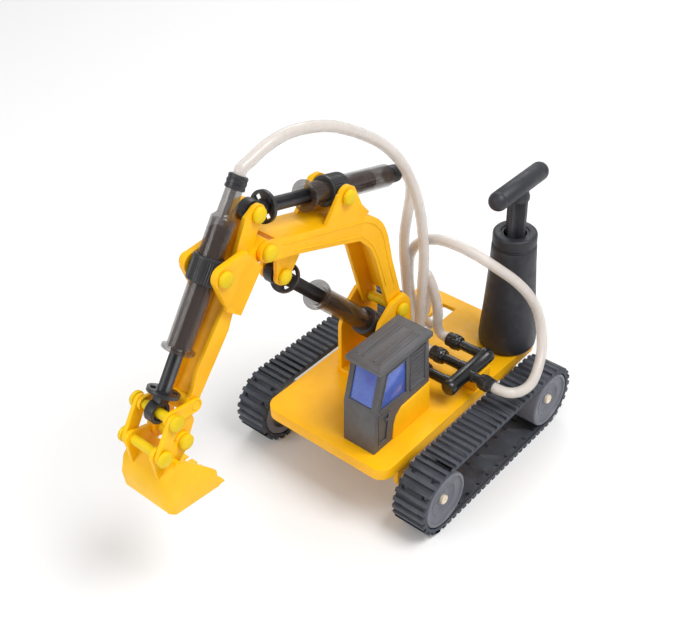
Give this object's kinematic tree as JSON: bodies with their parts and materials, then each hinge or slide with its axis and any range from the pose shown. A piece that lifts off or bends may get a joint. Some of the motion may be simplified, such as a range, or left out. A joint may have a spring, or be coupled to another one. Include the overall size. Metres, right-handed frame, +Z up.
{
  "type": "hydraulic robot arm kit",
  "caption": "Tracked toy excavator kit with a hinged arm and bucket moved by small hydraulic syringes, a hose manifold and a T-handled hand pump.",
  "frame": {"origin": "centre of the footprint of the bounding box, tubes left out, on the standing surface under the belts", "axes": "+X is forward, the way the arm reaches; +Y is the cab's side; +Z is up"},
  "size_m": [0.2325, 0.1238, 0.1965],
  "materials": {
    "yellow_plastic": "satin, moulded",
    "lemon_plastic": "satin, moulded",
    "lime_cap": "soft satin",
    "cab_grey": "fine matt",
    "blue_window": "gloss",
    "belt_rubber": "matt",
    "wheel_grey": "satin",
    "axle_cream": "satin",
    "gloss_black": "gloss",
    "pump_black": "matt",
    "clear_tube": "milky translucent",
    "smoke_barrel": "smoky translucent",
    "seal_rubber": "satin",
    "black_plastic": "satin"
  },
  "bodies": {
    "chassis": {"deck": "yellow_plastic", "boom_bracket": "yellow_plastic", "engine_cover": "yellow_plastic", "cab_shell": "cab_grey", "cab_roof": "cab_grey", "cab_windows": "blue_window", "manifold_body": "gloss_black", "manifold_post": "yellow_plastic", "port_collars": "gloss_black", "pump_barrel": "pump_black", "pump_cap": "pump_black", "axle_hangers": "yellow_plastic", "track_left": "belt_rubber", "track_right": "belt_rubber", "boom_pivot_pin": "lime_cap", "bucket_tube": "clear_tube", "stick_tube": "clear_tube", "boom_tube": "clear_tube", "pump_tube": "clear_tube"},
    "boom_arm": {"boom": "yellow_plastic", "boom_ram_pin": "lime_cap", "stick_pivot_pin": "lime_cap"},
    "stick_arm": {"stick_bracket": "yellow_plastic", "stick_channel": "yellow_plastic", "stick_ram_pin": "lime_cap", "bucket_pivot_pin": "lime_cap", "rocker_pin": "lemon_plastic"},
    "bucket_body": {"bucket": "lemon_plastic", "bucket_link_pin": "lime_cap"},
    "rocker_body": {"rocker_arms": "lemon_plastic", "bucket_ram_pin": "lime_cap"},
    "link_body": {"bucket_links": "lemon_plastic"},
    "pump_plunger": {"pump_rod": "pump_black", "pump_handle": "pump_black", "pump_piston": "pump_black"},
    "front_wheels": {"front_axle": "axle_cream", "wheel_front_left": "wheel_grey", "wheel_front_right": "wheel_grey"},
    "rear_wheels": {"rear_axle": "axle_cream", "wheel_rear_left": "wheel_grey", "wheel_rear_right": "wheel_grey"},
    "bucket_ram_body": {"bucket_ram_barrel": "smoke_barrel", "bucket_ram_collar": "black_plastic", "bucket_ram_nozzle_cap": "black_plastic", "bucket_ram_pin_caps": "lime_cap"},
    "bucket_plunger": {"bucket_ram_rod": "black_plastic", "bucket_ram_piston": "seal_rubber"},
    "stick_ram_body": {"stick_ram_barrel": "smoke_barrel", "stick_ram_collar": "black_plastic", "stick_ram_nozzle_cap": "black_plastic", "stick_ram_pin_caps": "lime_cap"},
    "stick_plunger": {"stick_ram_rod": "black_plastic", "stick_ram_piston": "seal_rubber"},
    "boom_ram_body": {"boom_ram_barrel": "smoke_barrel", "boom_ram_collar": "black_plastic", "boom_ram_nozzle_cap": "black_plastic", "boom_ram_pin_caps": "lime_cap"},
    "boom_plunger": {"boom_ram_rod": "black_plastic", "boom_ram_piston": "seal_rubber"}
  },
  "joints": [
    {"name": "boom_hinge", "type": "hinge", "parent": "chassis", "child": "boom_arm", "pos_m": [-0.04025, -0.014, 0.076], "axis": [0, -1, 0], "range_deg": [-18.7, 14.6], "deforming": ["bucket_tube", "stick_tube", "boom_tube"]},
    {"name": "stick_hinge", "type": "hinge", "parent": "boom_arm", "child": "stick_arm", "pos_m": [0.04275, -0.014, 0.1535], "axis": [0, -1, 0], "range_deg": [-18.7, 20.8], "deforming": ["bucket_tube", "stick_tube"]},
    {"name": "bucket_hinge", "type": "hinge", "parent": "stick_arm", "child": "bucket_body", "pos_m": [0.09826, -0.014, 0.08952], "axis": [0, -1, 0], "range_deg": [-27, 8.3], "deforming": ["bucket_tube"]},
    {"name": "rocker_hinge", "type": "hinge", "parent": "stick_arm", "child": "rocker_body", "pos_m": [0.08957, -0.014, 0.10275], "axis": [0, -1, 0], "range_deg": [-27, 8.5]},
    {"name": "link_hinge", "type": "hinge", "parent": "rocker_body", "child": "link_body", "pos_m": [0.10305, -0.014, 0.10454], "axis": [0, -1, 0], "range_deg": [-8.5, 27]},
    {"name": "bucket_ram_tilt", "type": "hinge", "parent": "stick_arm", "child": "bucket_ram_body", "pos_m": [0.06827, -0.014, 0.1552], "axis": [0, -1, 0], "range_deg": [-3.29, 1.01], "deforming": ["bucket_tube"]},
    {"name": "bucket_ram_slide", "type": "slide", "parent": "bucket_ram_body", "child": "bucket_plunger", "axis": [0.5659, 0, -0.8244], "range_m": [-0.00154, 0.00502]},
    {"name": "stick_ram_tilt", "type": "hinge", "parent": "boom_arm", "child": "stick_ram_body", "pos_m": [-0.00625, -0.014, 0.156], "axis": [0, -1, 0], "range_deg": [-1.5, 1.66], "deforming": ["stick_tube"]},
    {"name": "stick_ram_slide", "type": "slide", "parent": "stick_ram_body", "child": "stick_plunger", "axis": [0.9624, 0, 0.2716], "range_m": [-0.00545, 0.00491]},
    {"name": "boom_ram_tilt", "type": "hinge", "parent": "chassis", "child": "boom_ram_body", "pos_m": [-0.02975, -0.014, 0.068], "axis": [0, -1, 0], "range_deg": [-19.09, 14.85], "deforming": ["boom_tube"]},
    {"name": "boom_ram_slide", "type": "slide", "parent": "boom_ram_body", "child": "boom_plunger", "axis": [0.6826, 0, 0.7308], "range_m": [-0.00405, 0.00315]},
    {"name": "pump_slide", "type": "slide", "parent": "chassis", "child": "pump_plunger", "axis": [0, 0, 1], "range_m": [-0.0185, 0.022]},
    {"name": "front_axle_spin", "type": "hinge", "parent": "chassis", "child": "front_wheels", "pos_m": [0.00325, 0, 0.0183], "axis": [0, 1, 0], "continuous": true},
    {"name": "rear_axle_spin", "type": "hinge", "parent": "chassis", "child": "rear_wheels", "pos_m": [-0.08675, 0, 0.0183], "axis": [0, 1, 0], "continuous": true}
  ],
  "couplings": [
    {"joint": "bucket_hinge", "follows": "bucket_ram_slide", "rad_per_m": -90.435},
    {"joint": "rocker_hinge", "follows": "bucket_ram_slide", "rad_per_m": -90.435},
    {"joint": "link_hinge", "follows": "bucket_ram_slide", "rad_per_m": 90.435},
    {"joint": "bucket_ram_tilt", "follows": "bucket_ram_slide", "rad_per_m": -11.009},
    {"joint": "stick_hinge", "follows": "stick_ram_slide", "rad_per_m": -64.035},
    {"joint": "stick_ram_tilt", "follows": "stick_ram_slide", "rad_per_m": -5.1157},
    {"joint": "boom_hinge", "follows": "boom_ram_slide", "rad_per_m": 77.577},
    {"joint": "boom_ram_tilt", "follows": "boom_ram_slide", "rad_per_m": 79.119},
    {"joint": "rear_axle_spin", "follows": "front_axle_spin", "ratio": 1}
  ]
}
